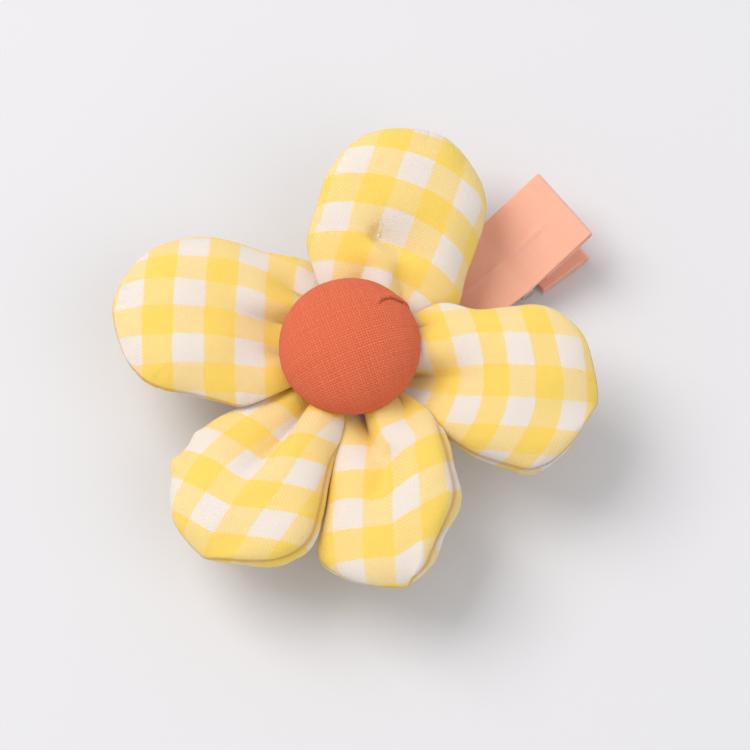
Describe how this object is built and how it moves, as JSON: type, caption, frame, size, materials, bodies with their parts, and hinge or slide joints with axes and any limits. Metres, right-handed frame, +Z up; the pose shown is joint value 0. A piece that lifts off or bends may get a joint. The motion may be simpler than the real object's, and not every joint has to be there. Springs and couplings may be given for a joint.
{
  "type": "flower hair clip",
  "caption": "Stuffed gingham flower with a cloth-covered button, sewn to a felt disc on a ribbon-lined sprung alligator hair clip.",
  "frame": {"origin": "on the underside of the lower arm, straight below the middle of the flower", "axes": "+Z up, away from the head; +X along the clip, from the jaw tip to the finger levers; +Y across the clip"},
  "size_m": [0.0715, 0.061, 0.0222],
  "materials": {
    "nickel_steel": "nickel-plated stamped steel, semi-bright",
    "spring_wire": "drawn music wire, bright",
    "salmon_ribbon": "close-woven ribbon, matt with a faint sheen",
    "felt": "pressed felt",
    "sewing_thread": "spun polyester thread",
    "button_aluminium": "stamped, dull",
    "coral_cloth": "plain-weave cotton, matt",
    "gingham": "yellow and white woven check cotton, matt",
    "wadding": "loose polyester fibre"
  },
  "bodies": {
    "lower_clip": {"lower_arm": "nickel_steel", "lower_ribbon": "salmon_ribbon", "hinge_pin": "nickel_steel", "torsion_spring": "spring_wire"},
    "upper_clip": {"upper_arm": "nickel_steel", "upper_ribbon": "salmon_ribbon", "felt_backing": "felt", "gather_thread": "sewing_thread", "button_shell": "button_aluminium", "button_cloth": "coral_cloth", "button_back": "button_aluminium", "petal_top_front": "gingham", "petal_top_back": "gingham", "petal_top_filling": "wadding", "petal_left_front": "gingham", "petal_left_back": "gingham", "petal_left_filling": "wadding", "petal_lower_left_front": "gingham", "petal_lower_left_back": "gingham", "petal_lower_left_filling": "wadding", "petal_bottom_front": "gingham", "petal_bottom_back": "gingham", "petal_bottom_filling": "wadding", "petal_right_front": "gingham", "petal_right_back": "gingham", "petal_right_filling": "wadding"}
  },
  "joints": [
    {"name": "jaw_hinge", "type": "hinge", "parent": "lower_clip", "child": "upper_clip", "pos_m": [0.0265, 0, 0.0028], "axis": [0, 1, 0], "range_deg": [0, 33], "stiffness_Nm_per_rad": 0.04, "springref_deg": -57.3, "deforming": ["torsion_spring"]}
  ]
}
